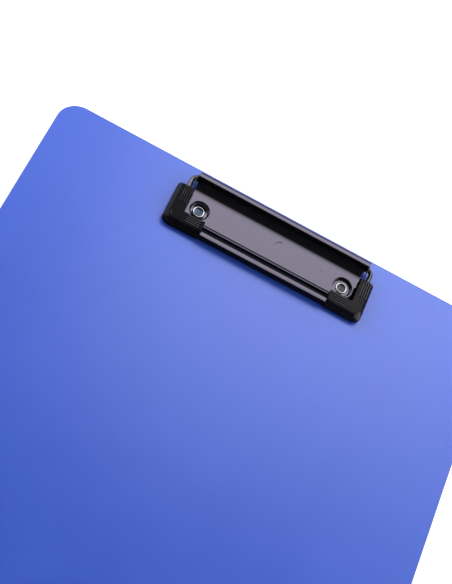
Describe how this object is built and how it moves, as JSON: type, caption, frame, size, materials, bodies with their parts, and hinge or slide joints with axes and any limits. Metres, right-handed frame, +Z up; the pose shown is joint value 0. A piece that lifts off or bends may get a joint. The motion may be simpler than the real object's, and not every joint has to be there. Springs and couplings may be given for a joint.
{
  "type": "storage clipboard box",
  "caption": "Slim A4 storage clipboard: shallow tray with a hinged writing-board lid, a low-profile sprung clip and a side latch.",
  "frame": {"origin": "centre of the tray's flat underside, midway between the side walls, at desk level", "axes": "+X towards the side latch, +Y along the length towards the clip, +Z up out of the writing board"},
  "size_m": [0.2452, 0.32, 0.0333],
  "materials": {
    "blue_plastic": "fine grain, matte",
    "clip_black": "smooth glossy black stove enamel",
    "spring_steel": "dark polished spring steel",
    "cap_rubber": "matte moulded rubber",
    "rivet_steel": "bright nickel plate",
    "pin_steel": "plain drawn wire"
  },
  "bodies": {
    "base": {"base_tray": "blue_plastic", "hinge_pin_upper": "pin_steel", "hinge_pin_lower": "pin_steel"},
    "lid": {"lid_board": "blue_plastic", "clip_plate": "clip_black", "rivet_left": "rivet_steel", "rivet_right": "rivet_steel", "rivet_washer_left": "pin_steel", "rivet_washer_right": "pin_steel", "latch_pin": "pin_steel", "torsion_spring_left": "spring_steel", "torsion_spring_right": "spring_steel"},
    "jaw": {"bail_wire": "spring_steel", "jaw_bar": "clip_black", "corner_cap_left": "cap_rubber", "corner_cap_right": "cap_rubber"},
    "latch": {"side_latch": "blue_plastic"}
  },
  "joints": [
    {"name": "lid_hinge", "type": "hinge", "parent": "base", "child": "lid", "pos_m": [-0.1183, 0, 0.01615], "axis": [0, -1, 0], "range_deg": [0, 170]},
    {"name": "jaw_hinge", "type": "hinge", "parent": "lid", "child": "jaw", "pos_m": [0, 0.153, 0.0274], "axis": [-1, 0, 0], "range_deg": [0, 30], "stiffness_Nm_per_rad": 0.35, "springref_deg": -28.65, "deforming": ["torsion_spring_left", "torsion_spring_right"]},
    {"name": "latch_hinge", "type": "hinge", "parent": "lid", "child": "latch", "pos_m": [0.1191, 0, 0.0206], "axis": [0, -1, 0], "range_deg": [-6.5, 75]}
  ]
}
